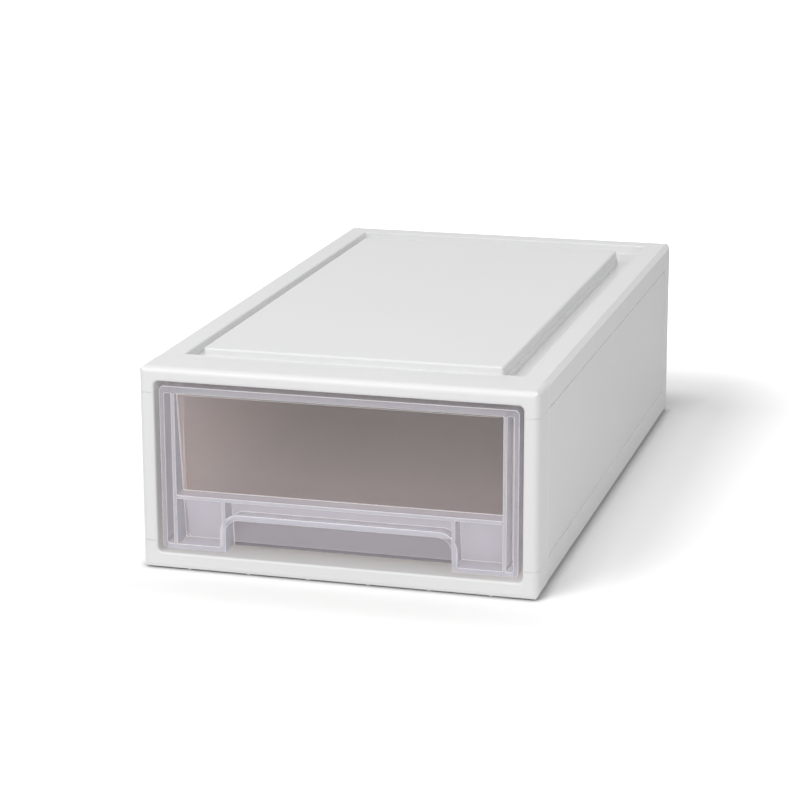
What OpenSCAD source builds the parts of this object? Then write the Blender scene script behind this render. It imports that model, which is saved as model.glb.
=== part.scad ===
// Stackable drawer box: a knock-down casing of five snap-together mouldings and one clear drawer.
// Millimetres, +Z up, front towards -Y, origin on the floor under the middle of the box.

/* [Casing] */
// Width over the sides
box_w = 260; // [220:1:320]
// Depth from the front face to the rear face
box_d = 470; // [380:1:560]
// Height from the floor to the rims that the next box stands on
box_h = 134; // [110:1:170]
// Wall thickness of the casing mouldings
wall = 2.5; // [2:0.1:3]
// Radius of the four long edges
corner_r = 4.5; // [3:0.5:7]
// Rounding of the level edges of the front face and the rear face
edge_r = 4.5; // [2:0.5:5]
// Rounding of the upright edges at the front
front_post_r = 4.5; // [2:0.5:5]
// Rounding of the upright edges at the rear
rear_post_r = 5; // [3:0.5:7]
// Height and width of the flat along the long top edges
edge_flat = 3.4; // [2.5:0.1:4]
// Rounding above and below that flat
edge_flat_r = 0.6; // [0.4:0.1:1]
// Width of the groove down each side of the front band
band_groove_w = 1.8; // [1:0.1:2.5]
// Depth of that groove
band_groove_d = 0.9; // [0.5:0.1:1.2]
// From that groove to the rear end of the band
band_groove_end = 0.6; // [0.4:0.1:1.5]

/* [Front frame] */
// Width of the front posts
post_w = 10; // [8:0.5:14]
// Height of the rail over the drawer
top_rail_h = 9.5; // [8:0.5:11]
// Height of the rail under the drawer
bottom_rail_h = 11; // [10:0.5:13]
// Corner radius of the drawer opening
opening_r = 3.5; // [2:0.5:5]
// Rounding of the edge of the opening
opening_edge_r = 1.5; // [0.6:0.1:1.5]
// Depth of the lining that returns inwards round the opening
lining_d = 22; // [18:1:24]
// Thickness of the lining
lining_t = 2; // [1.5:0.1:2.4]
// Depth of the front band that stands proud of the rest
band_d = 28.5; // [24:0.5:31]
// How far the front band stands proud
band_step = 0.4; // [0.2:0.1:0.8]

/* [Side and back walls] */
// Height of the top moulding's skirt
top_skirt_h = 17; // [16:0.5:22]
// Height of the base moulding's skirt
base_skirt_h = 18.5; // [18:0.5:24]
// How far the side walls are sunk between their bands
field_recess = 0.9; // [0.5:0.1:1.2]
// Depth of the band at the rear of a side wall
rear_band_d = 20; // [15:1:30]
// How far the back wall is sunk into the casing
back_recess = 1; // [0.5:0.1:1.5]
// Width of the plain border along the front of a side wall's sunk field
field_border_w = 19; // [10:1:30]
// How much less the border is sunk than the field
field_border_step = 0.2; // [0.1:0.05:0.4]
// Width of the fine line where two mouldings meet on a post
seam_w = 0.2; // [0.15:0.05:0.4]
// Depth of the fine line
seam_depth = 0.4; // [0.2:0.1:0.8]
// Height of the shadow gap between the top moulding and a side wall
shadow_h = 1.9; // [0.5:0.1:2.4]
// Depth of the shadow gap behind the side wall's face
shadow_d = 0.9; // [0.5:0.1:1.2]
// Bevel along the upper edge of the base moulding's skirt
ledge_bevel = 0.3; // [0.2:0.1:1.5]
// Thickness of the tongues that lap behind the next moulding
tongue_t = 1.8; // [1.4:0.1:2.2]
// Height of the tongues past the seam
tongue_h = 5; // [4.5:0.5:6]
// Clearance between a tongue and the wall it laps
tongue_gap = 0.2; // [0.1:0.05:0.3]
// Width of each snap barb on a tongue
barb_w = 14; // [8:1:20]
// How far the snap barbs stand out from their tongue
barb_out = 0.8; // [0.5:0.1:1]
// Clearance round a snap barb in its catch
barb_gap = 0.3; // [0.2:0.05:0.5]

/* [Top] */
// Width of the side rims
rim_w = 18; // [14:0.5:20]
// Width of the rear rim
rear_rim_w = 19.5; // [15:0.5:22]
// Bevel along the inner edge of the rims
rim_bevel = 0.6; // [0.3:0.1:1]
// Depth of the plain strip between the front face and the raised panel
front_strip_d = 36; // [33:0.5:45]
// Width of the groove at each side of the raised panel
groove_w = 13; // [8:0.5:16]
// Width of the groove behind the raised panel
rear_groove_w = 44; // [20:1:50]
// Depth of the groove below the rims
groove_depth = 6.5; // [5:0.5:7]
// Height of the raised panel above the rims
panel_rise = 5; // [3:0.5:6]
// Corner radius of the raised panel
panel_r = 2.5; // [1.5:0.5:5]
// Rounding of the raised panel's top edges
panel_edge_r = 1.4; // [0.6:0.1:1.8]
// Width of the small step at the foot of the raised panel
plinth_w = 0.7; // [0.4:0.1:1.5]
// Height of the small step at the foot of the raised panel
plinth_h = 4.5; // [2:0.5:5]
// Thickness of the raised panel and the groove
deck_t = 2; // [1.6:0.1:2.4]

/* [Base] */
// Thickness of the casing's floor
floor_t = 2.5; // [2:0.1:3]
// Depth of the foot bars at the front and the rear
foot_d = 27; // [15:1:28]
// How far the side skirts stay clear of the ground between the foot bars
foot_lift = 2.2; // [1:0.1:3]
// Height of the runners that the drawer slides on
runner_h = 2.3; // [2:0.1:2.4]
// Distance of each runner from the middle
runner_x = 95; // [70:1:96]
// Height of the ribs that steer the drawer
guide_h = 9; // [6:1:12]
// Clearance round the raised panel of the box below
stack_gap = 0.6; // [0.4:0.1:1]

/* [Drawer front] */
// Gap between the drawer front and the posts
side_gap = 3; // [2:0.1:4]
// Gap over the drawer front
top_gap = 3.3; // [2.8:0.1:4]
// Gap under the drawer front
bottom_gap = 2.8; // [2.6:0.1:3.5]
// How far the drawer front sits behind the frame
setback = 2; // [1:0.5:3]
// Depth of the lip round the drawer front
lip_d = 18; // [16:1:20]
// Thickness of the lip at the sides and the bottom
lip_t = 3.2; // [2.4:0.1:4]
// Thickness of the lip at the top
lip_top_t = 4.5; // [3:0.1:6]
// Corner radius of the lip
lip_r = 3; // [2:0.5:4]
// Distance from the lip's outer side to the wing wall beside the window
wing_inset = 10; // [8:0.5:12]
// Thickness of the wing walls and the plate behind the lip
wing_t = 2.4; // [2:0.1:2.8]
// Depth of the window behind the lip's front edge, at the top
window_top_d = 4; // [3:0.5:5]
// Depth of the window behind the lip's front edge, at the bottom
window_bottom_d = 16.5; // [14:0.5:17]

/* [Finger pull] */
// Height of the shelf's top above the underside of the drawer front
shelf_h = 35.7; // [32:0.1:45]
// Thickness of the shelf, the ribs and the arch
web_t = 2.2; // [1.8:0.1:2.6]
// Width of the arch
arch_w = 149; // [100:1:160]
// Height of the arch above the underside of the drawer front
arch_h = 21.8; // [18:0.1:24]
// Corner radius of the arch
arch_r = 9; // [6:0.5:12]
// Width of the bead round the arch
bead_w = 3.7; // [3:0.1:4.5]
// Depth of the bead
bead_d = 2.5; // [1.5:0.1:4]
// Width of the fine groove along the bead
bead_groove_w = 0.7; // [0.4:0.1:1]

/* [Drawer tub] */
// Wall thickness of the tub
tub_t = 2.2; // [1.8:0.1:2.6]
// How far each tub wall leans outwards over its height
tub_draft = 2; // [1:0.5:4]
// Radius of the tub's rear corners at the floor
tub_corner_r = 9; // [6:1:12]
// Rounding between the tub's floor and walls
tub_floor_r = 5; // [3:0.5:6]
// Width of the rim that stands out round the tub
rim_out = 6; // [4:0.5:6.5]
// Thickness of the rim
rim_t = 2; // [1.6:0.1:2.4]
// Depth of the rim's turned-down edge
rim_drop = 4; // [3:0.5:6]
// Clearance between the drawer and what it rests on or stops against
seat_gap = 0.3; // [0.2:0.05:0.4]
// Height of the buffers on the back wall
buffer_h = 4; // [2:0.5:6]
// Length of the drawer's rims that stays behind the stop when the drawer is out
drawer_hold = 66.9; // [40:0.1:140]

/* [Hidden] */
$fn = 48;

casing_colour = [0.92, 0.92, 0.93];
drawer_colour = [0.78, 0.78, 0.83, 0.5];
over = 1; // how far a cutting shape reaches past what it cuts

// Casing planes
half_w = box_w / 2;
front_y = -box_d / 2;
rear_y = box_d / 2;
upper_seam_z = box_h - top_skirt_h;
lower_seam_z = base_skirt_h;
side_x = half_w - band_step;
inner_half_w = side_x - field_recess - wall;
inner_rear_y = rear_y - wall;
floor_z = bottom_rail_h;

// Snap tongues of the side walls
tongue_x = inner_half_w - tongue_gap;
tongue_front_y = front_y + band_d + tongue_h;
tongue_rear_y = rear_y - rear_band_d - tongue_h;
barb_count = 4;
barb_low = 1.4; // from the seam to the barb's catching face
barb_high = 3.6; // from the seam to the end of the barb's ramp

// Drawer opening
opening_w = box_w - 2 * post_w;
opening_top_z = box_h - top_rail_h;
opening_h = opening_top_z - bottom_rail_h;
opening_mid_z = (opening_top_z + bottom_rail_h) / 2;
opening_edge_steps = 3;

// Top
well_half_w = half_w - rim_w;
well_front_y = front_y + front_strip_d;
well_rear_y = rear_y - rear_rim_w;
groove_z = box_h - groove_depth;
panel_half_w = well_half_w - groove_w;
panel_rear_y = well_rear_y - rear_groove_w;
panel_z = box_h + panel_rise;
deck_rib_t = 1.5;
deck_rib_h = 4;

// Base
foot_inner_y = front_y + foot_d;
foot_rear_inner_y = rear_y - rear_rim_w;
base_rib_t = 2;
stack_rib_z = 1;
stack_half_w = panel_half_w + stack_gap;
stack_front_y = well_front_y - stack_gap;
stack_rear_y = panel_rear_y + stack_gap;
cross_rib_h = 2.5;
stack_clear = 0.5; // between the cross ribs and the raised panel of the box below
cross_rib_z = max(panel_rise + stack_clear, floor_z - floor_t - cross_rib_h);
foot_rib_count = 6;
runner_w = 3;
runner_front_gap = 2; // between the lining and the runners
runner_ramp_l = 9;
guide_t = 2;
guide_front_gap = 9; // between the drawer front and the steering ribs

// Back wall
back_lap_y = inner_rear_y - tongue_gap - tongue_t;
back_lap_w = 4.5;
back_border = 8;
buffer_w = 3;
buffer_x = 70;

// Drawer front
lip_y = front_y + setback;
lip_rear_y = lip_y + lip_d;
lip_w = opening_w - 2 * side_gap;
lip_z = bottom_rail_h + bottom_gap;
lip_top_z = opening_top_z - top_gap;
lip_h = lip_top_z - lip_z;
bay_z = lip_z + lip_t;
bay_top_z = lip_top_z - lip_top_t;
wing_half_w = lip_w / 2 - wing_inset;
window_lean = (window_bottom_d - window_top_d) / (bay_top_z - lip_z);
shelf_z = lip_z + shelf_h;
arch_top_z = lip_z + arch_h;

// Drawer tub
tub_z = floor_z + runner_h + seat_gap;
tub_top_z = lip_top_z;
tub_height = tub_top_z - tub_z;
tub_wing_lap = 0.3; // how far the tub's walls stand outside the wing walls
tub_inner_top_hw = wing_half_w + tub_wing_lap;
tub_floor_hw = tub_inner_top_hw - tub_draft;
rim_half_w = tub_inner_top_hw + tub_t + rim_out;
rim_rear_y = back_lap_y - buffer_h - seat_gap;
tub_top_rear_y = rim_rear_y - rim_out - tub_t;
tub_floor_rear_y = tub_top_rear_y - tub_draft;
rim_r = tub_corner_r + tub_draft + tub_t + rim_out;
guide_clear = 0.8;

// Travel stop
stop_x = tub_inner_top_hw + rim_out / 2;
stop_w = 5;
stop_t = 2;
stop_y = front_y + lining_d;
stop_bite = 1.2;
nub_gap = 0.5;
nub_l = 6;
nub_top_z = opening_top_z - nub_gap;
nub_y = rim_rear_y - drawer_hold; // the drawer travels from here to seat_gap behind the stop

// ---------------------------------------------------------------- shared shapes

// Flat rounded rectangle about the origin
module rounded_rect(w, h, r) {
    square([w - 2 * r, h], center = true);
    square([w, h - 2 * r], center = true);
    for (sx = [-1, 1], sy = [-1, 1])
        translate([sx * (w / 2 - r), sy * (h / 2 - r)])
            circle(r);
}

// Extrudes an XZ outline from y0 to y1
module along_y(y0, y1) {
    translate([0, y1, 0])
        rotate([90, 0, 0])
            linear_extrude(y1 - y0)
                children();
}

// Extrudes a YZ outline from x0 to x1
module along_x(x0, x1) {
    translate([x0, 0, 0])
        rotate([90, 0, 90])
            linear_extrude(x1 - x0)
                children();
}

// Box between two corners
module span(low, high) {
    translate(low)
        cube(high - low);
}

// Block on z = 0 whose rounded outline grows by flare on every side over its depth
module flared_block(w, h, r, depth, flare) {
    for (sx = [-1, 1], sy = [-1, 1])
        translate([sx * (w / 2 - r), sy * (h / 2 - r), 0])
            cylinder(h = depth, r1 = r, r2 = r + flare);
    along_y(-(h / 2 - r), h / 2 - r)
        polygon([[-w / 2, 0], [w / 2, 0], [w / 2 + flare, depth], [-w / 2 - flare, depth]]);
    along_x(-(w / 2 - r), w / 2 - r)
        polygon([[-h / 2, 0], [h / 2, 0], [h / 2 + flare, depth], [-h / 2 - flare, depth]]);
}

// ---------------------------------------------------------------- casing

// Plan of the casing, with smaller corners at the front than at the rear
module plan_outline(half) {
    translate([-half, front_y + front_post_r])
        square([2 * half, box_d - front_post_r - rear_post_r]);
    translate([-half + front_post_r, front_y])
        square([2 * (half - front_post_r), box_d / 2]);
    translate([-half + rear_post_r, 0])
        square([2 * (half - rear_post_r), box_d / 2]);
    for (sx = [-1, 1]) {
        translate([sx * (half - front_post_r), front_y + front_post_r])
            circle(front_post_r);
        translate([sx * (half - rear_post_r), rear_y - rear_post_r])
            circle(rear_post_r);
    }
}

// Section of the casing behind the front band: round below, with a flat along each top edge
module body_section(half) {
    slope = edge_flat_r * sqrt(0.5);
    translate([-half, corner_r])
        square([2 * half, box_h - corner_r - edge_flat]);
    translate([-half + corner_r, 0])
        square([2 * (half - corner_r), box_h / 2]);
    translate([-half + edge_flat, box_h / 2])
        square([2 * (half - edge_flat), box_h / 2]);
    for (sx = [-1, 1]) {
        translate([sx * (half - corner_r), corner_r])
            circle(corner_r);
        translate([sx * (half - edge_flat), box_h - edge_flat_r])
            circle(edge_flat_r);
        translate([sx * (half - edge_flat_r), box_h - edge_flat])
            circle(edge_flat_r);
        polygon([[sx * (half - edge_flat - over), box_h - edge_flat - over],
                 [sx * (half - edge_flat_r), box_h - edge_flat - over],
                 [sx * (half - edge_flat_r), box_h - edge_flat],
                 [sx * (half - edge_flat_r + slope), box_h - edge_flat + slope],
                 [sx * (half - edge_flat + slope), box_h - edge_flat_r + slope],
                 [sx * (half - edge_flat), box_h - edge_flat_r],
                 [sx * (half - edge_flat - over), box_h - edge_flat_r]]);
    }
}

// Outer form of the casing, its sides drawn in by inset
module casing_form(inset) {
    intersection() {
        along_y(front_y, rear_y) {
            if (inset > 0)
                body_section(half_w - inset);
            else
                translate([0, box_h / 2])
                    rounded_rect(box_w, box_h, corner_r);
        }
        linear_extrude(box_h)
            plan_outline(half_w - inset);
        along_x(-half_w, half_w)
            translate([0, box_h / 2])
                rounded_rect(box_d, box_h, edge_r);
    }
}

// The casing as one block: a proud front band on a slightly smaller body
module casing_block() {
    casing_form(band_step);
    intersection() {
        casing_form(0);
        span([-half_w, front_y, 0], [half_w, front_y + band_d, box_h]);
    }
}

// Cuts the V groove down the right-hand side of the band
module band_groove() {
    y1 = front_y + band_d - band_groove_end;
    y0 = y1 - band_groove_w;
    flare = over * band_groove_w / 2 / band_groove_d;
    translate([0, 0, -over])
        linear_extrude(box_h + 2 * over)
            polygon([[half_w + over, y0 - flare], [half_w + over, y1 + flare],
                     [half_w - band_groove_d, (y0 + y1) / 2]]);
}

module opening_outline(grow) {
    translate([0, opening_mid_z])
        rounded_rect(opening_w + 2 * grow, opening_h + 2 * grow, opening_r + grow);
}

// Cuts the quarter-round edge of the opening in a few flared steps; the last runs out past the front
module opening_edge() {
    for (i = [0 : opening_edge_steps - 1]) {
        a0 = 90 * i / opening_edge_steps;
        a1 = 90 * (i + 1) / opening_edge_steps;
        grow0 = opening_edge_r * (1 - cos(a0));
        grow1 = opening_edge_r * (1 - cos(a1));
        depth0 = opening_edge_r * (1 - sin(a0));
        depth1 = opening_edge_r * (1 - sin(a1));
        run_out = i == opening_edge_steps - 1 ? 2 : 1;
        translate([0, front_y + depth0, opening_mid_z])
            rotate([90, 0, 0])
                flared_block(opening_w + 2 * grow0, opening_h + 2 * grow0, opening_r + grow0,
                             run_out * (depth0 - depth1), run_out * (grow1 - grow0));
    }
}

// Outer walls, solid floor and rims of the casing, with the lined opening
module casing_walls() {
    difference() {
        union() {
            difference() {
                casing_block();
                span([-inner_half_w, front_y + wall, floor_z], [inner_half_w, inner_rear_y, box_h - wall]);
            }
            along_y(front_y + wall, front_y + lining_d)
                opening_outline(lining_t);
        }
        along_y(front_y - over, front_y + lining_d + over)
            opening_outline(0);
        opening_edge();
        both_sides()
            band_groove();
    }
}

// Fine line just below a seam, on the right-hand post and on its lining
module seam_line(z) {
    translate([0, 0, z - seam_w])
        linear_extrude(seam_w)
            difference() {
                square([box_w + 2 * over, box_d + 2 * over], center = true);
                rounded_rect(box_w - 2 * seam_depth, box_d - 2 * seam_depth, front_post_r);
            }
    span([opening_w / 2 - over, front_y + seam_depth, z - seam_w],
         [opening_w / 2 + seam_depth, front_y + lining_d + over, z]);
}

// Groove and hollow raised panel, as one tray set into the rims
module top_tray() {
    difference() {
        span([-well_half_w - deck_t, well_front_y - deck_t, groove_z - deck_t],
             [well_half_w + deck_t, well_rear_y + deck_t, box_h - wall / 2]);
        span([-well_half_w, well_front_y, groove_z], [well_half_w, well_rear_y, box_h]);
    }
    span([-panel_half_w - plinth_w, well_front_y, groove_z - deck_t],
         [panel_half_w + plinth_w, panel_rear_y + plinth_w, groove_z + plinth_h]);
    raised_block(0, panel_z);
}

// Outer form of the raised panel, or its hollow when drawn in by inset
module raised_block(inset, top_z) {
    low_z = groove_z - deck_t - over * sign(inset);
    y0 = well_front_y + inset;
    y1 = panel_rear_y - inset;
    intersection() {
        translate([0, (y0 + y1) / 2, low_z])
            linear_extrude(top_z - low_z)
                rounded_rect(2 * (panel_half_w - inset), y1 - y0, panel_r);
        along_y(y0, y1)
            translate([0, top_z / 2])
                rounded_rect(2 * (panel_half_w - inset), top_z, panel_edge_r);
        along_x(-panel_half_w, panel_half_w)
            translate([(y0 + y1) / 2, top_z / 2])
                rounded_rect(y1 - y0, top_z, panel_edge_r);
    }
}

// Stiffening ribs under the raised panel
module deck_ribs() {
    low_z = panel_z - deck_t - deck_rib_h;
    high_z = panel_z - deck_t / 2;
    for (i = [-1 : 1])
        span([i * panel_half_w / 2 - deck_rib_t / 2, well_front_y + deck_t / 2, low_z],
             [i * panel_half_w / 2 + deck_rib_t / 2, panel_rear_y - deck_t / 2, high_z]);
    for (i = [1 : 3]) {
        y = well_front_y + i * (panel_rear_y - well_front_y) / 4;
        span([-panel_half_w + deck_t / 2, y - deck_rib_t / 2, low_z],
             [panel_half_w - deck_t / 2, y + deck_rib_t / 2, high_z]);
    }
}

// Two small ribs under the front rail that catch the drawer's nubs
module travel_stops() {
    for (sx = [-1, 1])
        span([sx * stop_x - stop_w / 2, stop_y - lining_t / 4, lip_top_z + stop_bite],
             [sx * stop_x + stop_w / 2, stop_y + stop_t, opening_top_z + lining_t]);
}

module top_panel() {
    color(casing_colour) {
        difference() {
            union() {
                intersection() {
                    casing_walls();
                    span([-half_w, front_y, upper_seam_z], [half_w, rear_y, box_h]);
                }
                top_tray();
            }
            span([-well_half_w, well_front_y, groove_z + plinth_h],
                 [-panel_half_w, well_rear_y, box_h + over]);
            span([panel_half_w, well_front_y, groove_z + plinth_h],
                 [well_half_w, well_rear_y, box_h + over]);
            span([-well_half_w, panel_rear_y, groove_z + plinth_h],
                 [well_half_w, well_rear_y, box_h + over]);
            span([-well_half_w, well_front_y, groove_z],
                 [-panel_half_w - plinth_w, well_rear_y, box_h]);
            span([panel_half_w + plinth_w, well_front_y, groove_z],
                 [well_half_w, well_rear_y, box_h]);
            span([-well_half_w, panel_rear_y + plinth_w, groove_z],
                 [well_half_w, well_rear_y, box_h]);
            raised_block(deck_t, panel_z - deck_t);
            span([-half_w - over, front_y + band_d, box_h - seam_w],
                 [half_w + over, front_y + band_d + seam_w, box_h + over]);
            rim_edge();
            both_sides()
                barb_catches(upper_seam_z, 1);
        }
        deck_ribs();
        travel_stops();
    }
}

module both_sides() {
    children();
    mirror([1, 0, 0])
        children();
}

// Cuts the bevel along the inner edge of the side rims and the rear rim, mitred at the corners
module rim_edge() {
    z0 = box_h - rim_bevel;
    z1 = box_h + over;
    flare = rim_bevel + over;
    difference() {
        intersection() {
            along_y(well_front_y, rear_y)
                polygon([[-well_half_w, z0], [well_half_w, z0],
                         [well_half_w + flare, z1], [-well_half_w - flare, z1]]);
            along_x(-half_w, half_w)
                polygon([[well_front_y, z0], [well_rear_y, z0],
                         [well_rear_y + flare, z1], [well_front_y, z1]]);
        }
        span([-well_half_w + over, well_front_y - over, z0 - over],
             [well_half_w - over, well_rear_y - over, z1 + over]);
    }
}

// Middle of each snap barb along a tongue
function barb_y(i) = tongue_front_y + (i + 0.5) * (tongue_rear_y - tongue_front_y) / barb_count;

// Ramped barbs on the outside of a tongue, pointing up (1) or down (-1) from a seam
module snap_barbs(seam_z, way) {
    root_x = tongue_x - tongue_t / 2;
    z0 = seam_z + way * barb_low;
    z1 = seam_z + way * barb_high;
    for (i = [0 : barb_count - 1])
        along_y(barb_y(i) - barb_w / 2, barb_y(i) + barb_w / 2)
            polygon([[root_x, z0], [tongue_x + barb_out, z0], [tongue_x, z1], [root_x, z1]]);
}

// Pockets in a skirt that the barbs snap into
module barb_catches(seam_z, way) {
    z0 = seam_z + way * (barb_low - barb_gap);
    z1 = seam_z + way * (barb_high + barb_gap);
    for (i = [0 : barb_count - 1])
        span([inner_half_w - over, barb_y(i) - barb_w / 2 - barb_gap, min(z0, z1)],
             [tongue_x + barb_out + barb_gap, barb_y(i) + barb_w / 2 + barb_gap, max(z0, z1)]);
}

// Lap tongue inside a side wall, from z0 to z1
module side_tongue(z0, z1) {
    span([tongue_x - tongue_t, tongue_front_y, z0], [tongue_x, tongue_rear_y, z1]);
}

// Sunk field of a side wall, with its border and the shadow gap under the top moulding
module side_field() {
    field_y = front_y + band_d;
    field_rear_y = rear_y - rear_band_d;
    field_x = side_x - field_recess;
    span([field_x, field_y + field_border_w, lower_seam_z - over],
         [half_w + over, field_rear_y, upper_seam_z + over]);
    span([field_x + field_border_step, field_y, lower_seam_z - over],
         [half_w + over, field_y + field_border_w + over, upper_seam_z + over]);
    span([field_x - shadow_d, field_y, upper_seam_z - shadow_h],
         [half_w + over, field_rear_y, upper_seam_z + over]);
}

module side_panel() {
    difference() {
        intersection() {
            casing_walls();
            span([half_w - post_w, front_y, lower_seam_z], [half_w, rear_y, upper_seam_z]);
        }
        side_field();
        seam_line(upper_seam_z);
        seam_line(lower_seam_z + seam_w);
    }
    side_tongue(upper_seam_z - tongue_h, upper_seam_z + tongue_h);
    side_tongue(lower_seam_z - tongue_h, lower_seam_z + tongue_h);
    tongue_root(upper_seam_z - tongue_h);
    tongue_root(lower_seam_z);
    snap_barbs(upper_seam_z, 1);
    snap_barbs(lower_seam_z, -1);
}

// Thick foot that ties a tongue to its side wall
module tongue_root(z0) {
    span([tongue_x - tongue_t, tongue_front_y, z0],
         [inner_half_w + wall / 3, tongue_rear_y, z0 + tongue_h]);
}

module right_side_panel() {
    color(casing_colour)
        side_panel();
}

module left_side_panel() {
    color(casing_colour)
        mirror([1, 0, 0])
            side_panel();
}

module back_panel() {
    plate_half_w = half_w - post_w - tongue_gap;
    lap_half_w = half_w - post_w + back_lap_w;
    color(casing_colour) {
        span([-plate_half_w, rear_y - back_recess - wall, lower_seam_z],
             [plate_half_w, rear_y - back_recess, upper_seam_z]);
        difference() {
            span([-lap_half_w, back_lap_y, lower_seam_z - tongue_h],
                 [lap_half_w, back_lap_y + tongue_t, upper_seam_z + tongue_h]);
            span([-plate_half_w + back_border, back_lap_y - over, lower_seam_z + back_border],
                 [plate_half_w - back_border, back_lap_y + tongue_t + over, upper_seam_z - back_border]);
        }
        for (sx = [-1, 1]) {
            span([sx * buffer_x - buffer_w / 2, back_lap_y - buffer_h, lower_seam_z],
                 [sx * buffer_x + buffer_w / 2, rear_y - back_recess - wall / 2, upper_seam_z]);
            span([sx * buffer_x - buffer_w / 2, back_lap_y - buffer_h, upper_seam_z - over],
                 [sx * buffer_x + buffer_w / 2, back_lap_y + tongue_t, upper_seam_z + tongue_h]);
        }
    }
}

// Ring of ribs under the floor that drops round the raised panel of the box below
module stacking_ribs() {
    difference() {
        span([-stack_half_w - base_rib_t, stack_front_y - base_rib_t, stack_rib_z],
             [stack_half_w + base_rib_t, stack_rear_y + base_rib_t, floor_z - floor_t / 2]);
        span([-stack_half_w, stack_front_y, 0], [stack_half_w, stack_rear_y, floor_z - floor_t]);
    }
}

// Shallow cross ribs under the floor, clear of the box below
module floor_ribs() {
    for (i = [1 : 4]) {
        y = stack_front_y + i * (stack_rear_y - stack_front_y) / 5;
        span([-stack_half_w - base_rib_t / 2, y - base_rib_t / 2, cross_rib_z],
             [stack_half_w + base_rib_t / 2, y + base_rib_t / 2, floor_z - floor_t / 2]);
    }
}

// Runners and steering ribs on the floor, with a ramp at the front of each runner
module drawer_runners() {
    runner_front_y = front_y + lining_d + runner_front_gap;
    runner_rear_y = rim_rear_y;
    for (sx = [-1, 1]) {
        along_x(sx * runner_x - runner_w / 2, sx * runner_x + runner_w / 2)
            polygon([[runner_front_y, floor_z - floor_t / 2],
                     [runner_rear_y, floor_z - floor_t / 2],
                     [runner_rear_y, floor_z + runner_h],
                     [runner_front_y + runner_ramp_l, floor_z + runner_h],
                     [runner_front_y, floor_z]]);
        guide_x = tub_floor_hw + tub_t + guide_clear + guide_t / 2;
        span([sx * guide_x - guide_t / 2, lip_rear_y + guide_front_gap, floor_z - floor_t / 2],
             [sx * guide_x + guide_t / 2, runner_rear_y, floor_z + guide_h]);
    }
}

// Short ribs inside a foot bar that spread its load on the ground
module foot_ribs(y0, y1) {
    for (i = [0 : foot_rib_count - 1]) {
        x = (i - (foot_rib_count - 1) / 2) * 2 * stack_half_w / (foot_rib_count - 1);
        span([x - base_rib_t / 2, y0, 0], [x + base_rib_t / 2, y1, floor_z - floor_t / 2]);
    }
}

// Cuts the bevel along the upper edge of the right-hand skirt
module ledge_edge() {
    along_y(front_y + band_d, rear_y - rear_band_d)
        polygon([[side_x - ledge_bevel - over, lower_seam_z + over],
                 [side_x + over, lower_seam_z - ledge_bevel - over],
                 [side_x + over, lower_seam_z + over]]);
}

module base_panel() {
    skirt_inner = side_x - wall;
    color(casing_colour) {
        difference() {
            intersection() {
                casing_walls();
                span([-half_w, front_y, 0], [half_w, rear_y, lower_seam_z]);
            }
            span([-skirt_inner, foot_inner_y, -over],
                 [skirt_inner, foot_rear_inner_y, floor_z - floor_t]);
            span([-skirt_inner, front_y + edge_r, -over],
                 [skirt_inner, foot_inner_y - wall, floor_z - floor_t]);
            span([-skirt_inner, foot_rear_inner_y + wall, -over],
                 [skirt_inner, rear_y - edge_r, floor_z - floor_t]);
            span([-half_w - over, foot_inner_y, -over], [half_w + over, foot_rear_inner_y, foot_lift]);
            both_sides() {
                ledge_edge();
                barb_catches(lower_seam_z, -1);
            }
        }
        stacking_ribs();
        floor_ribs();
        foot_ribs(front_y + wall, foot_inner_y - wall / 2);
        foot_ribs(foot_rear_inner_y + wall / 2, rear_y - wall);
        drawer_runners();
    }
}

// ---------------------------------------------------------------- drawer

// Depth of the sloping window's outer face at a height
function window_y(z) = lip_y + window_bottom_d - (z - lip_z) * window_lean;

// Everything in front of the window's outer face, moved back by shift
module before_window(half_width, z0, z1, shift) {
    along_x(-half_width, half_width)
        polygon([[lip_y - over, z0], [window_y(z0) + shift, z0],
                 [window_y(z1) + shift, z1], [lip_y - over, z1]]);
}

module lip_outline(inset_side, inset_bottom, inset_top, r) {
    w = lip_w - 2 * inset_side;
    h = lip_h - inset_bottom - inset_top;
    translate([0, lip_z + inset_bottom + h / 2])
        rounded_rect(w, h, r);
}

module lip() {
    along_y(lip_y, lip_rear_y)
        difference() {
            lip_outline(0, 0, 0, lip_r);
            lip_outline(lip_t, lip_t, lip_top_t, lip_r / 2);
        }
}

// Walls each side of the window, up to the front edge of the lip
module wings() {
    for (sx = [-1, 1])
        span([sx * (wing_half_w + wing_t / 2) - wing_t / 2, lip_y, bay_z - lip_t / 2],
             [sx * (wing_half_w + wing_t / 2) + wing_t / 2, lip_rear_y, bay_top_z + lip_top_t / 2]);
}

// Sloping clear wall that closes the front of the tub
module window() {
    z0 = tub_z;
    z1 = bay_top_z + lip_top_t / 2;
    along_x(-wing_half_w - wing_t / 2, wing_half_w + wing_t / 2)
        polygon([[window_y(z0), z0], [window_y(z0) + tub_t, z0],
                 [window_y(z1) + tub_t, z1], [window_y(z1), z1]]);
}

// Arch of the finger pull, grown outwards and open at the bottom
module arch_outline(grow) {
    half = arch_w / 2 + grow;
    top_z = arch_top_z + grow;
    r = arch_r + grow;
    low_z = lip_z - over;
    translate([-half, low_z])
        square([2 * half, top_z - r - low_z]);
    translate([-half + r, low_z])
        square([2 * (half - r), top_z - low_z]);
    for (sx = [-1, 1])
        translate([sx * (half - r), top_z - r])
            circle(r);
}

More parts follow.
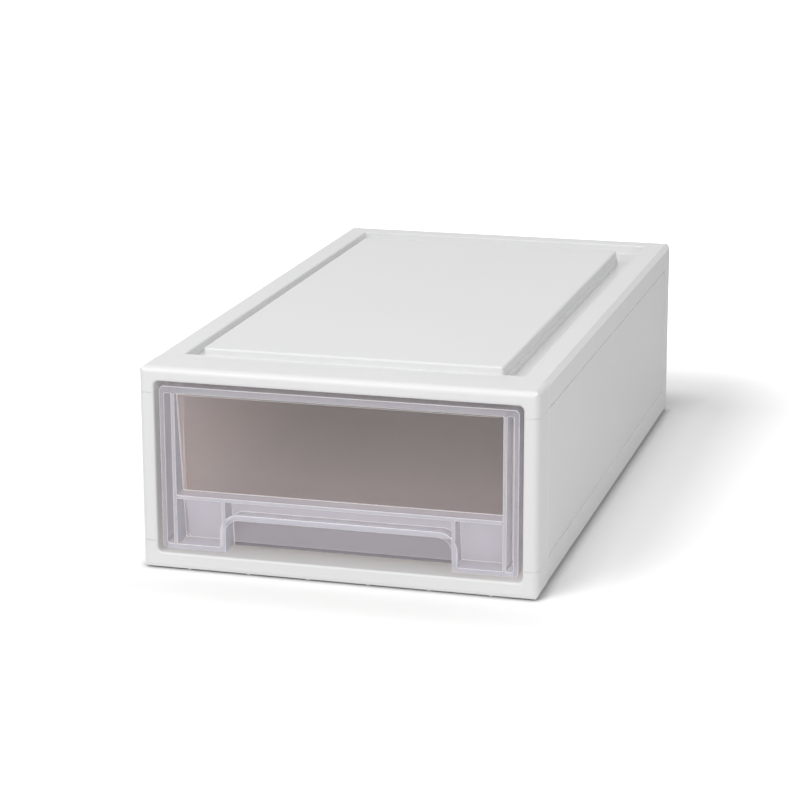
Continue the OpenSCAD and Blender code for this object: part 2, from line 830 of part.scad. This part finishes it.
// Shelf, ribs and arch that stand forward from the window's lower part
module pull_webs() {
    intersection() {
        before_window(wing_half_w + wing_t / 2, lip_z, shelf_z, tub_t / 2);
        union() {
            span([-wing_half_w - wing_t / 2, lip_y, shelf_z - web_t],
                 [wing_half_w + wing_t / 2, lip_rear_y, shelf_z]);
            for (sx = [-1, 1])
                span([sx * (arch_w + web_t) / 2 - web_t / 2, lip_y, arch_top_z - arch_r],
                     [sx * (arch_w + web_t) / 2 + web_t / 2, lip_rear_y, shelf_z - web_t / 2]);
            along_y(lip_y, lip_rear_y)
                arch_outline(web_t);
            difference() {
                along_y(lip_y, lip_y + bead_d)
                    arch_outline(bead_w);
                along_y(lip_y - over, lip_y + bead_groove_w)
                    difference() {
                        arch_outline((bead_w + bead_groove_w) / 2);
                        arch_outline((bead_w - bead_groove_w) / 2);
                    }
            }
        }
    }
}

// Right half of the tub's section: floor, floor rounding, leaning wall
function half_section(half, top_half, z0, z1, r) = concat(
    [[0, z0]],
    [for (a = [-90 : 15 : 0]) [half - r + r * cos(a), z0 + r + r * sin(a)]],
    [[top_half, z1], [0, z1]]);

// Solid tub from y0 to a leaning rear wall with round, leaning corners
module tub_form(half, rear, corner, z0, z1, r, y0, lean) {
    axis_x = half - corner;
    axis_y = rear - corner;
    section = half_section(corner, corner + lean, z0, z1, r);
    side = half_section(half, half + lean, z0, z1, r);
    along_y(y0, axis_y) {
        polygon(side);
        mirror([1, 0])
            polygon(side);
    }
    along_x(-axis_x, axis_x) {
        translate([axis_y, 0])
            polygon(section);
        translate([y0, z0])
            square([axis_y - y0, z1 - z0]);
    }
    for (sx = [-1, 1])
        translate([sx * axis_x, axis_y, 0])
            rotate_extrude()
                polygon(section);
}

module tub_outer() {
    tub_form(tub_floor_hw + tub_t, tub_floor_rear_y + tub_t, tub_corner_r + tub_t,
             tub_z, tub_top_z, tub_floor_r + tub_t, lip_rear_y - wing_t, tub_draft);
}

module tub_inner() {
    tub_form(tub_floor_hw, tub_floor_rear_y, tub_corner_r, tub_z + tub_t, tub_top_z + over,
             tub_floor_r, lip_rear_y - wing_t - over, tub_draft * (1 + over / tub_height));
}

// Rim round the sides and rear of the tub, with its edge turned down
module tub_rim() {
    start_y = lip_y + wing_t;
    mid_y = (start_y + rim_rear_y) / 2;
    translate([0, mid_y, tub_top_z - rim_t])
        linear_extrude(rim_t)
            rounded_rect(2 * rim_half_w, rim_rear_y - start_y, rim_r);
    translate([0, mid_y, tub_top_z - rim_t - rim_drop])
        linear_extrude(rim_drop + rim_t / 2)
            difference() {
                rounded_rect(2 * rim_half_w, rim_rear_y - start_y, rim_r);
                rounded_rect(2 * (rim_half_w - rim_t), rim_rear_y - start_y - 2 * rim_t, rim_r - rim_t);
            }
}

// Nubs on the rim that meet the travel stops
module rim_nubs() {
    for (sx = [-1, 1])
        along_x(sx * stop_x - stop_w / 2, sx * stop_x + stop_w / 2)
            polygon([[nub_y, tub_top_z - rim_t / 2], [nub_y, nub_top_z],
                     [nub_y + rim_t, nub_top_z], [nub_y + nub_l, tub_top_z - rim_t / 2]]);
}

module drawer() {
    color(drawer_colour)
        difference() {
            union() {
                difference() {
                    union() {
                        tub_outer();
                        tub_rim();
                        along_y(lip_rear_y - wing_t, lip_rear_y)
                            lip_outline(0, 0, 0, lip_r);
                    }
                    tub_inner();
                }
                lip();
                wings();
                window();
                pull_webs();
                rim_nubs();
            }
            intersection() {
                before_window(arch_w / 2 + over, lip_z - over, arch_top_z + over, 0);
                along_y(lip_y - over, lip_rear_y + over)
                    arch_outline(0);
            }
        }
}

top_panel();
base_panel();
left_side_panel();
right_side_panel();
back_panel();
drawer();
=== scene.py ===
# %% [markdown]
# # Finishing a stackable drawer box
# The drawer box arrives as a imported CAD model: five white mouldings that snap together into a casing, and one
# clear drawer. This lesson gives each moulding the surface of the plastic it is made of, then sets a floor,
# a soft studio light and a camera. The shapes stay as the CAD made them.

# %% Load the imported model
import math

import bmesh
import bpy
from mathutils import Matrix, Vector


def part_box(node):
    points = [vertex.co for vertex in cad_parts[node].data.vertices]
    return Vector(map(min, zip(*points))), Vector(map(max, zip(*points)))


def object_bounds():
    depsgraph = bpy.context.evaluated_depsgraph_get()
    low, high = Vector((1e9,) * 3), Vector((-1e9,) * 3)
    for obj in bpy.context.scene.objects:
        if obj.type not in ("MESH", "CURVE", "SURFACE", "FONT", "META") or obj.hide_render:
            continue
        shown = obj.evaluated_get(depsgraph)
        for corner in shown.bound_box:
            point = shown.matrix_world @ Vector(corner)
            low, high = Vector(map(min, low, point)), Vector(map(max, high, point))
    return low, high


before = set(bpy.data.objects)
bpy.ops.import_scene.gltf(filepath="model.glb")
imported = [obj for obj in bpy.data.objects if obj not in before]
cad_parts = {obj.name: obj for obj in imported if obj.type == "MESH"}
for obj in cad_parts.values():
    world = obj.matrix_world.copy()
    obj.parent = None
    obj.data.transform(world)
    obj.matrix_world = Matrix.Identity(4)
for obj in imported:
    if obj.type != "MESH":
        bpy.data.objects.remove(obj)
cad_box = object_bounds()
MM = 0.001
print("nodes:", ", ".join(sorted(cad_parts)))
print("CAD box in metres:", [round(x, 4) for corner in cad_box for x in corner])

# %% [markdown]
# ## Colours and nodes
# Colours are picked in a colour picker as sRGB hex values, but a shader works in linear light. One function
# turns the first into the second. A second one adds a node, sets its values and plugs its links in one call,
# so that each material below reads as a short list.


# %% Turn a hex colour to linear light
def linear(hex_colour):
    channels = [int(hex_colour[i : i + 2], 16) / 255 for i in (1, 3, 5)]
    return tuple(c / 12.92 if c <= 0.04045 else ((c + 0.055) / 1.055) ** 2.4 for c in channels) + (1.0,)


print("mid grey #808080 is", round(linear("#808080")[0], 3), "in linear light")


# %% Add one node with its settings and links
def add(tree, kind, settings=None, values=None, links=None):
    node = tree.nodes.new(kind)
    for name, value in (settings or {}).items():
        setattr(node, name, value)
    for name, value in (values or {}).items():
        node.inputs[name].default_value = value
    for name, source in (links or {}).items():
        tree.links.new(source, node.inputs[name])
    return node


# %% Start an empty material
def new_material(name):
    material = bpy.data.materials.new(name)
    material.use_nodes = True
    material.node_tree.nodes.clear()
    return material, material.node_tree


# %% [markdown]
# A Mix node has a set of sockets for each kind of data, all with the same names, so they are told apart by
# their numbers.

# %% Name the Mix node's sockets
FACTOR = 0
NUMBER_A, NUMBER_B = 2, 3
COLOUR_A, COLOUR_B = 6, 7
NUMBER_OUT, COLOUR_OUT = 0, 2
print("a Mix node takes colours at sockets", COLOUR_A, "and", COLOUR_B)

# %% [markdown]
# ## White polypropylene
# The casing is injection-moulded polypropylene, filled with white pigment. It leaves the tool with a satin
# skin: a soft, broad highlight with no mirror image. The steel was spark-eroded very finely. The real grain
# is about 0.15 mm, too fine to show from here, so it is drawn at 0.6 mm. The plastic's own colour drifts a
# little where it flowed and cooled, enough to keep a flat wall from looking like paper. Noise on Object
# coordinates gives both, because it goes through the piece like the real thing and needs no unwrapping.

# %% Lay out the drift and the grain
FLOW_SIZE = 90 * MM
GRAIN_SIZE = 0.6 * MM
casing_plastic, tree = new_material("white_polypropylene_satin")
place = add(tree, "ShaderNodeTexCoord").outputs["Object"]
flow = add(
    tree, "ShaderNodeTexNoise", values={"Scale": 1 / FLOW_SIZE, "Detail": 2.0}, links={"Vector": place},
).outputs["Fac"]
grain = add(
    tree, "ShaderNodeTexNoise", values={"Scale": 1 / GRAIN_SIZE, "Detail": 3.0}, links={"Vector": place},
).outputs["Fac"]
print("colour drifts over", round(FLOW_SIZE / MM), "mm, grain is", round(GRAIN_SIZE / MM, 1), "mm")

# %% Mix the white casing plastic
POLYPROPYLENE_IOR = 1.49
tint = add(
    tree, "ShaderNodeMix", {"data_type": "RGBA"},
    {COLOUR_A: linear("#ededee"), COLOUR_B: linear("#f1f1f1")}, {FACTOR: flow},
).outputs[COLOUR_OUT]
sheen = add(
    tree, "ShaderNodeMapRange", values={"To Min": 0.3, "To Max": 0.38}, links={"Value": grain},
).outputs["Result"]
skin = add(
    tree, "ShaderNodeBump", values={"Strength": 0.06, "Distance": 0.05 * MM}, links={"Height": grain},
).outputs["Normal"]
body = add(
    tree, "ShaderNodeBsdfPrincipled", values={"IOR": POLYPROPYLENE_IOR},
    links={"Base Color": tint, "Roughness": sheen, "Normal": skin},
)
add(tree, "ShaderNodeOutputMaterial", links={"Surface": body.outputs["BSDF"]})
print("casing plastic has", len(tree.nodes), "nodes")

# %% [markdown]
# ## Clear polypropylene for the drawer
# The drawer is one injection moulding in clarified polypropylene. That plastic is never quite clear: tiny
# crystals in it throw back a little pale violet light, and what comes through is left slightly warm. So the
# finish is two shaders in one mix. The first is the clear plastic, the second is the pale light from inside
# it. How much of each depends on the mould. The window and the tub's floor come off polished steel. The
# tub's side walls scrape along the steel as the mould opens, so they are left a little hazy. The lip and the
# finger pull, where a hand leaves marks, come off frosted steel, so more of the pale light shows there. The
# channel between the lip and the window has three walls one behind the other, so it is pale. It is made the
# palest of all to lift it out of the shade it lies in, and that part is painted light.

# %% Measure a place on the drawer
drawer_plastic, tree = new_material("clarified_polypropylene_moulded")
place = add(tree, "ShaderNodeTexCoord").outputs["Object"]
axis = add(tree, "ShaderNodeSeparateXYZ", links={"Vector": place}).outputs
from_middle = add(tree, "ShaderNodeMath", {"operation": "ABSOLUTE"}, links={0: axis["X"]}).outputs[0]
print("a place is measured from the middle, from front to back and up from the floor")

# %% [markdown]
# Each border between two finishes is a Map Range node on one of these measures. It gives 0 up to its first
# number and 1 from its second, in millimetres, so a border that counts down has the larger number first. A
# mould is masked with tape before it is polished, and polishing strays a little past the tape, so most
# borders are 0.6 mm wide. The places are counted from the drawer's own box wherever they follow it.

# %% Name the places on the drawer front
low, high = (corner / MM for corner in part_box("drawer"))
STRAY = 0.3
LIP_SIDE = high.x - 3.2
CHANNEL_SIDE = high.x - 7.6
PANE_SIDE = high.x - 10.4
PANE_FOOT, PANE_HEAD = 49.5, 116.7
ARCH_SIDE, ARCH_HEAD = 74.0, 35.1
TUB_FRONT = low.y + 18.9
print("the window is", round(2 * PANE_SIDE, 1), "mm wide and", round(PANE_HEAD - PANE_FOOT, 1), "mm high")

# %% Draw the borders between finishes
zone = {}
for name, measure, start, end in (
    ("pane_sides", from_middle, PANE_SIDE + STRAY, PANE_SIDE - STRAY),
    ("pane_foot", axis["Z"], PANE_FOOT - STRAY, PANE_FOOT + STRAY),
    ("pane_head", axis["Z"], PANE_HEAD + STRAY, PANE_HEAD - STRAY),
    ("arch_sides", from_middle, ARCH_SIDE + STRAY, ARCH_SIDE - STRAY),
    ("arch_head", axis["Z"], ARCH_HEAD + STRAY, ARCH_HEAD - STRAY),
    ("tub", axis["Y"], TUB_FRONT - STRAY, TUB_FRONT + STRAY),
    ("tub_sides", from_middle, 100, 102),
    ("lip_sides", from_middle, LIP_SIDE - STRAY, LIP_SIDE + STRAY),
    ("lip_head", axis["Z"], PANE_HEAD - STRAY, PANE_HEAD + STRAY),
    ("channel_sides", from_middle, CHANNEL_SIDE - STRAY, CHANNEL_SIDE + STRAY),
    ("channel_foot", axis["Z"], 19, 21),
    ("upper", axis["Z"], 50, 105),
    ("depth", axis["Y"], -200, 120),
):
    zone[name] = add(
        tree, "ShaderNodeMapRange", values={"From Min": start * MM, "From Max": end * MM},
        links={"Value": measure},
    ).outputs["Result"]
print("borders drawn:", ", ".join(zone))

# %% [markdown]
# Borders join into zones as sets do. Multiply keeps what lies inside both, Maximum takes what lies inside
# either, and Subtract takes one away from the other.

# %% Join the borders into zones
for name, operation, first, second in (
    ("pane", "MULTIPLY", "pane_sides", "pane_foot"),
    ("pane", "MULTIPLY", "pane", "pane_head"),
    ("behind_arch", "MULTIPLY", "arch_sides", "arch_head"),
    ("polished", "MAXIMUM", "pane", "behind_arch"),
    ("polished", "MAXIMUM", "polished", "tub"),
    ("tub_wall", "MULTIPLY", "tub_sides", "tub"),
    ("lip", "MAXIMUM", "lip_sides", "lip_head"),
    ("channel", "SUBTRACT", "channel_sides", "lip"),
    ("channel", "MULTIPLY", "channel", "channel_foot"),
    ("warm", "MAXIMUM", "depth", "pane"),
):
    zone[name] = add(
        tree, "ShaderNodeMath", {"operation": operation}, links={0: zone[first], 1: zone[second]},
    ).outputs[0]
print("zones on the drawer:", ", ".join(zone))

# %% [markdown]
# ## Painted light in the edges
# Light that enters a clear moulding runs along inside it and leaves at the edges, so the edges look white.
# Here that white is painted on: a painted highlight. The Bevel node gives the normal that a rounded edge
# would have. Where it differs from the face's own normal, there is an edge. The dot product of the two is 1
# on a flat face and falls towards the edge.

# %% Mark the edges
EDGE_RADIUS = 0.9 * MM
EDGE_STARTS, EDGE_FULL = 0.985, 0.9
rounded = add(tree, "ShaderNodeBevel", {"samples": 8}, {"Radius": EDGE_RADIUS}).outputs["Normal"]
face = add(tree, "ShaderNodeNewGeometry").outputs["True Normal"]
turn = add(
    tree, "ShaderNodeVectorMath", {"operation": "DOT_PRODUCT"}, links={0: rounded, 1: face},
).outputs["Value"]
# Painted highlight mask: 0 on flat faces and 1 at the edges, where the plastic is painted white.
painted_edge_highlight = add(
    tree, "ShaderNodeMapRange", values={"From Min": EDGE_STARTS, "From Max": EDGE_FULL},
    links={"Value": turn},
).outputs["Result"]
print("edges look rounded by", round(EDGE_RADIUS / MM, 1), "mm")

# %% [markdown]
# ## How much pale light each zone shows
# A haze of 0 is clear and a haze of 1 is pale all through. The window is drawn a little clearer near its
# top than at its foot, so its foot is paler, as if more light fell there: painted light. The tub's side walls
# are laid over it, the channel is laid over the frosted lip and finger pull, and then the polished zones and
# the frosted ones are put together. The edges come last.

# %% Set the haze of each zone
WINDOW_LOW, WINDOW_HIGH = 0.16, 0.09
TUB_WALL, FINGER_PULL, LIP, CHANNEL, EDGE_PAINTED_HIGHLIGHT = 0.3, 0.48, 0.3, 0.9, 0.95
clear_haze = add(
    tree, "ShaderNodeMapRange", values={"To Min": WINDOW_LOW, "To Max": WINDOW_HIGH},
    links={"Value": zone["upper"]},
).outputs["Result"]
clear_haze = add(
    tree, "ShaderNodeMapRange", values={"To Max": TUB_WALL},
    links={"Value": zone["tub_wall"], "To Min": clear_haze},
).outputs["Result"]
frosted_haze = add(
    tree, "ShaderNodeMapRange", values={"To Min": FINGER_PULL, "To Max": LIP},
    links={"Value": zone["lip"]},
).outputs["Result"]
# The channel's high haze is partly painted light, which lifts it out of the shade it lies in.
frosted_haze = add(
    tree, "ShaderNodeMapRange", values={"To Max": CHANNEL},
    links={"Value": zone["channel"], "To Min": frosted_haze},
).outputs["Result"]
print("haze runs from", WINDOW_HIGH, "high in the window to", EDGE_PAINTED_HIGHLIGHT, "at the edges")

# %% Lay the polished zones and the edges over the frosted ones
haze = add(
    tree, "ShaderNodeMix", {"data_type": "FLOAT"},
    links={FACTOR: zone["polished"], NUMBER_A: frosted_haze, NUMBER_B: clear_haze},
).outputs[NUMBER_OUT]
pale = add(
    tree, "ShaderNodeMapRange", values={"To Max": EDGE_PAINTED_HIGHLIGHT}, links={"Value": painted_edge_highlight, "To Min": haze},
).outputs["Result"]
print("haze is mixed from", len(tree.nodes), "nodes")

# %% [markdown]
# ## The skin of the drawer
# Polypropylene shrinks unevenly as it cools, so a moulded window is never quite flat. A slow ripple in the
# surface blurs what lies behind it by varying amounts.

# %% Ripple the surface
RIPPLE_SIZE = 40 * MM
ripple = add(
    tree, "ShaderNodeTexNoise", values={"Scale": 1 / RIPPLE_SIZE, "Detail": 1.0}, links={"Vector": place},
).outputs["Fac"]
skin = add(
    tree, "ShaderNodeBump", values={"Strength": 0.1, "Distance": 0.3 * MM},
    links={"Height": ripple, "Normal": rounded},
).outputs["Normal"]
blur = add(
    tree, "ShaderNodeMapRange", values={"To Min": 0.16, "To Max": 0.24}, links={"Value": ripple},
).outputs["Result"]
print("ripples are", round(RIPPLE_SIZE / MM), "mm long")

# %% [markdown]
# The clear shader is tinted towards warm in the window and deeper into the tub, because light that has gone
# back and forth through the plastic many times keeps its red longest. This tint by place is painted warm
# light for the inside of the box. The pale shader is violet, a little less so in the window, and white at the
# edges, where the white is a painted highlight.

# %% Mix the clear plastic
tint = add(
    tree, "ShaderNodeMix", {"data_type": "RGBA"},
    {COLOUR_A: linear("#f6f5fa"), COLOUR_B: linear("#fff1ea")}, {FACTOR: zone["warm"]},
).outputs[COLOUR_OUT]
clear = add(
    tree, "ShaderNodeBsdfPrincipled",
    values={"IOR": POLYPROPYLENE_IOR, "Transmission Weight": 1.0, "Specular IOR Level": 0.4},
    links={"Base Color": tint, "Roughness": blur, "Normal": skin},
)
print("clear plastic is", clear.inputs["Transmission Weight"].default_value, "see-through")

# %% Mix the pale light and join the two
inner = add(
    tree, "ShaderNodeMix", {"data_type": "RGBA"},
    {COLOUR_A: linear("#e9e7f3"), COLOUR_B: linear("#ede6e8")}, {FACTOR: zone["pane"]},
).outputs[COLOUR_OUT]
# Painted highlight: the pale colour turns white at the edges.
glow = add(
    tree, "ShaderNodeMix", {"data_type": "RGBA"}, {COLOUR_B: linear("#ffffff")},
    {FACTOR: painted_edge_highlight, COLOUR_A: inner},
).outputs[COLOUR_OUT]
milk = add(
    tree, "ShaderNodeBsdfPrincipled", values={"IOR": POLYPROPYLENE_IOR, "Roughness": 0.3},
    links={"Base Color": glow, "Normal": skin},
)
plastic = add(
    tree, "ShaderNodeMixShader", links={0: pale, 1: clear.outputs["BSDF"], 2: milk.outputs["BSDF"]},
).outputs["Shader"]
print("drawer plastic has", len(tree.nodes), "nodes so far")

# %% [markdown]
# Lamps and skylight must reach the inside of the box through the drawer. A renderer finds such ways through
# rough glass only by luck, so rays from lamps and from white walls meet a plain Transparent shader instead.

# %% Let the light into the box
# Painted warm light: the light let through is tinted warmer deeper into the tub.
passed = add(
    tree, "ShaderNodeMix", {"data_type": "RGBA"},
    {COLOUR_A: linear("#fdfbfa"), COLOUR_B: linear("#fff4ef")}, {FACTOR: zone["depth"]},
).outputs[COLOUR_OUT]
lamp_way = add(tree, "ShaderNodeBsdfTransparent", links={"Color": passed}).outputs["BSDF"]
rays = add(tree, "ShaderNodeLightPath").outputs
lets_in = add(
    tree, "ShaderNodeMath", {"operation": "MAXIMUM"},
    links={0: rays["Is Shadow Ray"], 1: rays["Is Diffuse Ray"]},
).outputs[0]
both = add(tree, "ShaderNodeMixShader", links={0: lets_in, 1: plastic, 2: lamp_way}).outputs["Shader"]
add(tree, "ShaderNodeOutputMaterial", links={"Surface": both})
print("drawer plastic has", len(tree.nodes), "nodes")

# %% [markdown]
# ## The plastics on their mouldings
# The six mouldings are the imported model's own objects, with the right shapes. Each only takes a material in
# the slots that it already has, so its mesh and its place stay untouched.

# %% Put the plastics on the mouldings
for name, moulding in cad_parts.items():
    for slot in moulding.material_slots:
        slot.material = drawer_plastic if name == "drawer" else casing_plastic
    print(name, "wears", moulding.material_slots[0].material.name)

# %% [markdown]
# ## Sky
# An even white sky stands round the box. It shows as white to the camera, and to whatever mirrors it or
# lets it through, while the light that it gives the plastic stays at a plain level. Light Path tells the two
# apart.

# %% Sky
SKY_LIGHT = 0.33
world = bpy.data.worlds.new("studio")
bpy.context.scene.world = world
world.use_nodes = True
tree = world.node_tree
tree.nodes.clear()
rays = add(tree, "ShaderNodeLightPath").outputs
shows = rays["Is Camera Ray"]
for kind in ("Is Transmission Ray", "Is Glossy Ray"):
    shows = add(
        tree, "ShaderNodeMath", {"operation": "MAXIMUM"}, links={0: shows, 1: rays[kind]},
    ).outputs[0]
lit = add(tree, "ShaderNodeBackground", values={"Color": linear("#ffffff"), "Strength": SKY_LIGHT})
white = add(tree, "ShaderNodeBackground", values={"Color": linear("#fefefe"), "Strength": 1.0})
sky = add(
    tree, "ShaderNodeMixShader",
    links={0: shows, 1: lit.outputs["Background"], 2: white.outputs["Background"]},
)
add(tree, "ShaderNodeOutputWorld", links={"Surface": sky.outputs["Shader"]})
print("sky lights the box at", SKY_LIGHT)

# %% [markdown]
# ## Table
# The box stands on a large matt white sheet. It lies a hair below zero, so that the feet and the sheet never
# share a plane.

# %% Floor
FLOOR_HALF = 4.0
FLOOR_DROP = 0.2 * MM
mesh = bpy.data.meshes.new("floor")
sheet = bmesh.new()
bmesh.ops.create_grid(
    sheet, x_segments=1, y_segments=1, size=FLOOR_HALF,
    matrix=Matrix.Translation((0, 0, -FLOOR_DROP)),
)
sheet.to_mesh(mesh)
sheet.free()
floor = bpy.data.objects.new("floor", mesh)
bpy.context.collection.objects.link(floor)
print("floor at z =", round(floor.data.vertices[0].co.z / MM, 2), "mm")

# %% [markdown]
# Two things are true of a white table in a studio. Right under an edge, where hardly any sky is seen, it is
# dark. An Ambient Occlusion node finds that narrow strip, and the table's colour is painted darker there: a
# painted contact shade. Far from the box it is as white as the sky. The distance from the box's outline is
# measured, and emission grows with it. Both apply only to what the camera sees, straight or through the
# drawer, so the light that the table throws onto the box stays plain.

# %% Shade the table near the box
CONTACT_REACH = 7 * MM
CONTACT_DARK, OPEN_WHITE = 0.28, 1.2
table_white, tree = new_material("matt_white_table")
rays = add(tree, "ShaderNodeLightPath").outputs
seen = add(
    tree, "ShaderNodeMath", {"operation": "MAXIMUM"},
    links={0: rays["Is Camera Ray"], 1: rays["Is Transmission Ray"]},
).outputs[0]
corner = add(
    tree, "ShaderNodeAmbientOcclusion", {"samples": 8}, {"Distance": CONTACT_REACH},
).outputs["AO"]
bright = add(
    tree, "ShaderNodeMapRange", values={"To Min": CONTACT_DARK, "To Max": OPEN_WHITE},
    links={"Value": corner},
).outputs["Result"]
bright = add(
    tree, "ShaderNodeCombineColor", links={"Red": bright, "Green": bright, "Blue": bright},
).outputs["Color"]
tone = add(
    tree, "ShaderNodeMix", {"data_type": "RGBA"}, {COLOUR_A: linear("#fcfcfc")},
    {FACTOR: seen, COLOUR_B: bright},
).outputs[COLOUR_OUT]
paint = add(tree, "ShaderNodeBsdfDiffuse", links={"Color": tone})
print("the table darkens within", round(CONTACT_REACH / MM), "mm of the box")

# %% Whiten the table far from the box
WHITE_FROM, WHITE_FULL = 40 * MM, 340 * MM
half_box = (cad_box[1][0], cad_box[1][1], 0)
step = add(tree, "ShaderNodeTexCoord").outputs["Object"]
step = add(tree, "ShaderNodeVectorMath", {"operation": "ABSOLUTE"}, links={0: step}).outputs["Vector"]
for operation, amount in (("SUBTRACT", half_box), ("MAXIMUM", (0, 0, 0))):
    step = add(
        tree, "ShaderNodeVectorMath", {"operation": operation}, {1: amount}, {0: step},
    ).outputs["Vector"]
away = add(tree, "ShaderNodeVectorMath", {"operation": "LENGTH"}, links={0: step}).outputs["Value"]
whiter = add(
    tree, "ShaderNodeMapRange", values={"From Min": WHITE_FROM, "From Max": WHITE_FULL},
    links={"Value": away},
).outputs["Result"]
lift = add(tree, "ShaderNodeMath", {"operation": "MULTIPLY"}, links={0: seen, 1: whiter}).outputs[0]
glow = add(tree, "ShaderNodeEmission", links={"Strength": lift})
total = add(tree, "ShaderNodeAddShader", links={0: paint.outputs["BSDF"], 1: glow.outputs["Emission"]})
add(tree, "ShaderNodeOutputMaterial", links={"Surface": total.outputs["Shader"]})
floor.data.materials.append(table_white)
print("the table is white from", round(WHITE_FULL / MM), "mm on")

# %% [markdown]
# ## Lamps
# Three round lamps light the box: a large key at the front left, a weaker fill at the front right for the
# side wall, and a small one above for the top. A wide lamp gives soft shadows. All stand equally far away.


# %% Lamps
def soft_lamp(name, place, target, size, watts):
    lamp = bpy.data.lights.new(name, "AREA")
    lamp.shape = "DISK"
    lamp.size = size
    lamp.energy = watts
    holder = bpy.data.objects.new(name, lamp)
    bpy.context.collection.objects.link(holder)
    holder.location = place
    holder.rotation_euler = (target - place).to_track_quat("-Z", "Y").to_euler()
    return holder


LAMP_DISTANCE = 2.6
middle = Vector((0, 0, 0.07))
for name, direction, size, watts in (
    ("key", (-0.34, -0.66, 0.67), 1.3, 22),
    ("fill", (0.6, -0.7, 0.3), 1.3, 9.5),
    ("top", (-0.03, -0.22, 1.0), 0.8, 14),
):
    place = middle + LAMP_DISTANCE * Vector(direction).normalized()
    lamp = soft_lamp(name, place, middle, size, watts)
    print(name, "lamp at", [round(x, 2) for x in lamp.location])

# %% [markdown]
# ## Camera
# The camera stands to the front right, a little above the box. Its place is written as two angles, a roll
# and a point, so that each can be corrected by itself.

# %% Aim the camera
CAMERA_PLACE = (0.44714, -1.68360, 0.52742)
azimuth, elevation, roll = math.radians(15.6258), math.radians(15.0381), math.radians(-0.1787)
ahead = Vector((
    -math.sin(azimuth) * math.cos(elevation),
    math.cos(azimuth) * math.cos(elevation),
    -math.sin(elevation),
))
level_right = Vector((math.cos(azimuth), math.sin(azimuth), 0))
level_up = level_right.cross(ahead)
right = math.cos(roll) * level_right + math.sin(roll) * level_up
up = -math.sin(roll) * level_right + math.cos(roll) * level_up
print("camera looks along", [round(x, 3) for x in ahead])

# %% Camera
SENSOR_WIDTH, FOCAL_LENGTH = 36.0, 113.912
lens = bpy.data.cameras.new("camera")
lens.sensor_width = SENSOR_WIDTH
lens.lens = FOCAL_LENGTH
camera = bpy.data.objects.new("camera", lens)
bpy.context.collection.objects.link(camera)
turned = Matrix((right, up, -ahead)).transposed().to_4x4()
camera.matrix_world = Matrix.Translation(CAMERA_PLACE) @ turned
bpy.context.scene.camera = camera
bpy.context.scene.view_settings.view_transform = "Standard"
print("camera has a", round(FOCAL_LENGTH), "mm lens")
